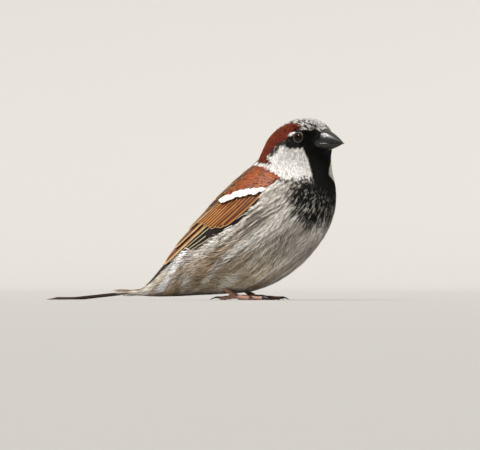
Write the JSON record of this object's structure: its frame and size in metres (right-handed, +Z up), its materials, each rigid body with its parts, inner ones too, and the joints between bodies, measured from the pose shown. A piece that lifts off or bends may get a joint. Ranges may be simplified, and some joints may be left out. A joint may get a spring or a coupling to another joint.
{
  "type": "house sparrow model",
  "caption": "Life-size still model of an adult male house sparrow in breeding plumage, crouched on its toes with its head turned a little and its tail laid on the ground.",
  "frame": {"origin": "on the ground, in the middle of the bounding box's bottom, under the belly behind the feet", "axes": "+X the way the body faces, along the tail and trunk; +Y the bird's left; +Z up"},
  "size_m": [0.145, 0.0432, 0.0794],
  "materials": {
    "plumage": "soft matt contour feathers",
    "wing_feathers": "smooth matt vanes",
    "tail_feathers": "smooth matt vanes",
    "bill": "satin horn",
    "eye": "wet gloss",
    "leg": "dry scaly skin",
    "claw": "satin horn"
  },
  "bodies": {
    "root": {"trunk": "plumage", "neck": "plumage", "head": "plumage", "wing_left": "wing_feathers", "wing_right": "wing_feathers", "tail": "tail_feathers", "bill_upper": "bill", "bill_lower": "bill", "eye_left": "eye", "eye_right": "eye", "leg_left": "leg", "leg_right": "leg", "claw_left_inner": "claw", "claw_left_middle": "claw", "claw_left_outer": "claw", "claw_left_hind": "claw", "claw_right_inner": "claw", "claw_right_middle": "claw", "claw_right_outer": "claw", "claw_right_hind": "claw"}
  },
  "joints": []
}
